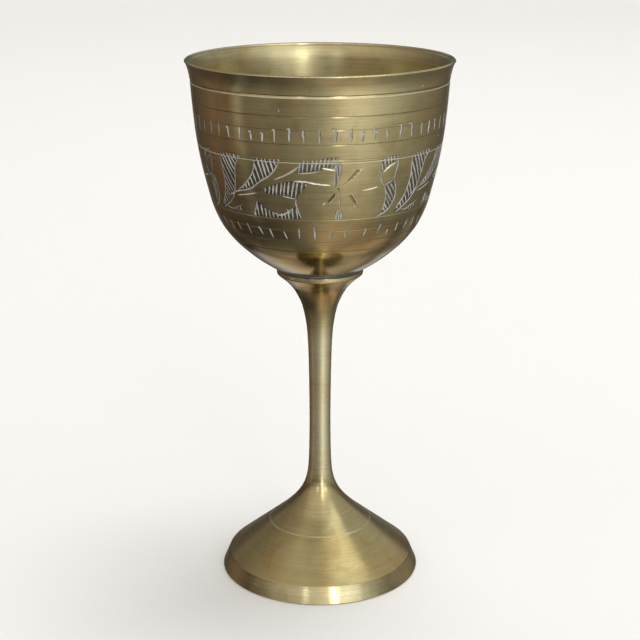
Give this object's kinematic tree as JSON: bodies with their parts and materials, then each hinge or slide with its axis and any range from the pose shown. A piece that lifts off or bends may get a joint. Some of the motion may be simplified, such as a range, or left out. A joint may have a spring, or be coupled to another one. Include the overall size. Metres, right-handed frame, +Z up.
{
  "type": "stemmed drinking cup",
  "caption": "Stemmed brass drinking cup: a turned bowl with chased leaf and flower ornament, a slim spindle stem and a hollow conical foot.",
  "frame": {"origin": "centre of the foot's underside, on the surface that the cup stands on", "axes": "+Z up along the common turning axis, from the foot to the lip; X and Y are equivalent, and the pictured side of the ornament faces -Y"},
  "size_m": [0.07, 0.07, 0.1423],
  "materials": {
    "bowl_brass": "satin, lathe turned, aged olive patina",
    "stem_brass": "satin, lathe turned, aged olive patina",
    "foot_brass": "satin, lathe turned, lightly worn",
    "solder": "dull grey soft solder",
    "seam_line": "pale brazed line",
    "stud": "plain turned steel"
  },
  "bodies": {
    "root": {"bowl": "bowl_brass", "bowl_solder": "solder", "bowl_stud": "stud", "stem": "stem_brass", "foot_solder": "seam_line", "foot": "foot_brass"}
  },
  "joints": []
}
